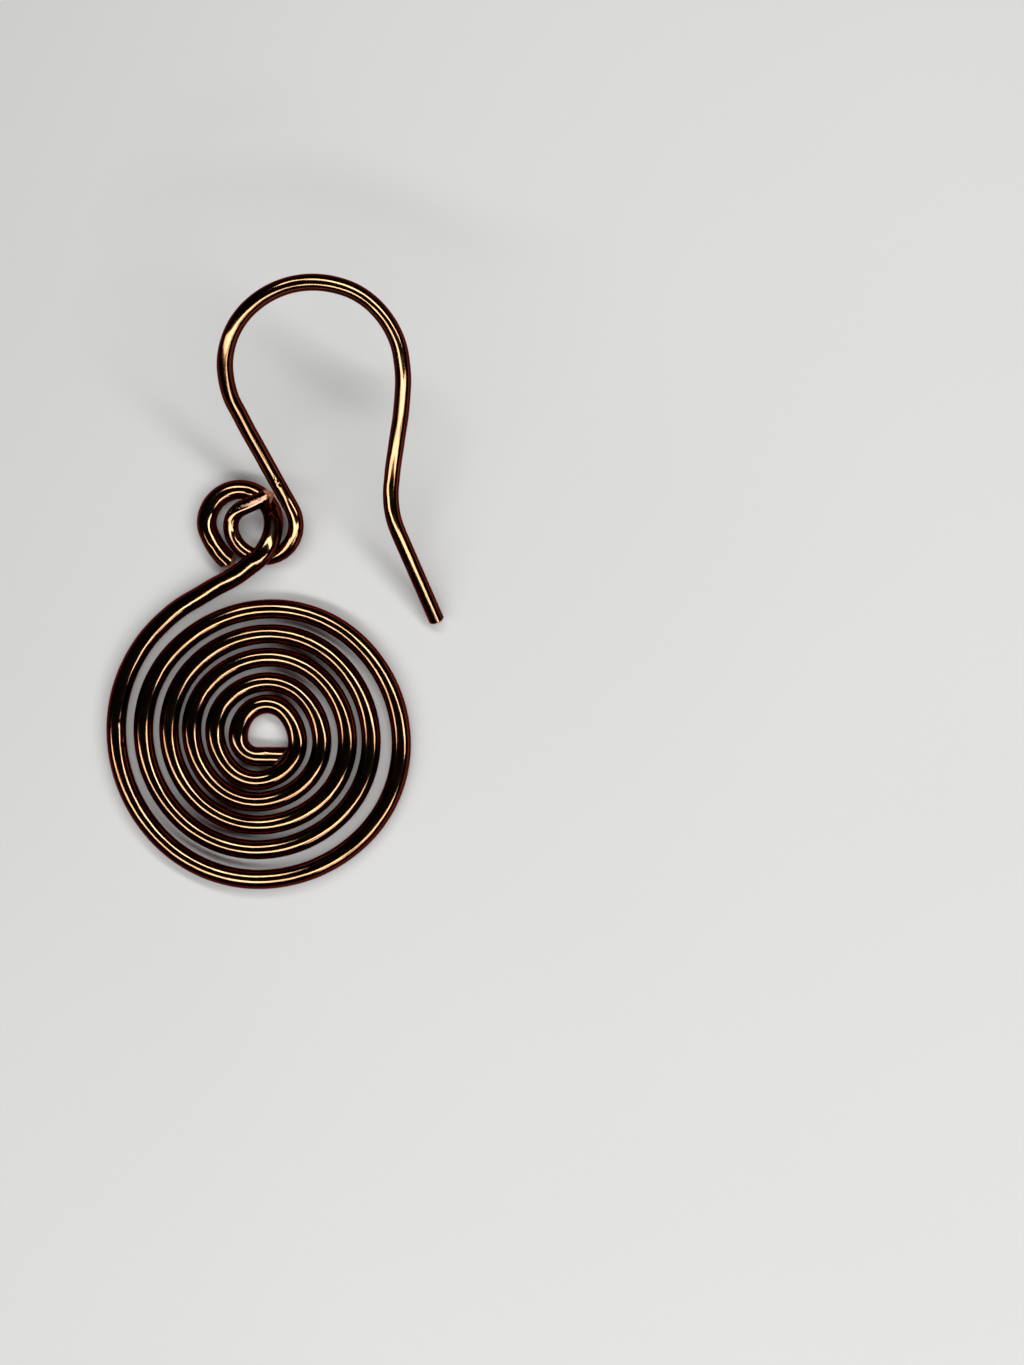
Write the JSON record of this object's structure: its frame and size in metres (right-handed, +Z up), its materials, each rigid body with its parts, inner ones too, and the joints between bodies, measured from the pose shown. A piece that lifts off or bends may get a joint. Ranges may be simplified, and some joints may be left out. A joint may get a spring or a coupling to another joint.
{
  "type": "spiral wire drop earring",
  "caption": "Drop earring: a flat spiral of round dark bronze wire hangs by its loop from a shepherd's hook ear wire.",
  "frame": {"origin": "on the table, below the middle of the earring's bounding box as it lies flat", "axes": "+X across the spiral, +Y from the spiral towards the hook's arch, +Z up from the table"},
  "size_m": [0.0176, 0.0306, 0.008],
  "materials": {
    "bronze_wire": "glossy dark antique-bronze enamel over copper wire"
  },
  "bodies": {
    "ear_wire": {"ear_wire": "bronze_wire"},
    "spiral_pendant": {"spiral_pendant": "bronze_wire"}
  },
  "joints": [
    {"name": "pendant_swing", "type": "hinge", "parent": "ear_wire", "child": "spiral_pendant", "pos_m": [-0.00149, 0.00362, 0.00081], "axis": [-0.9438, 0.3305, 0], "range_deg": [0, 105]}
  ]
}
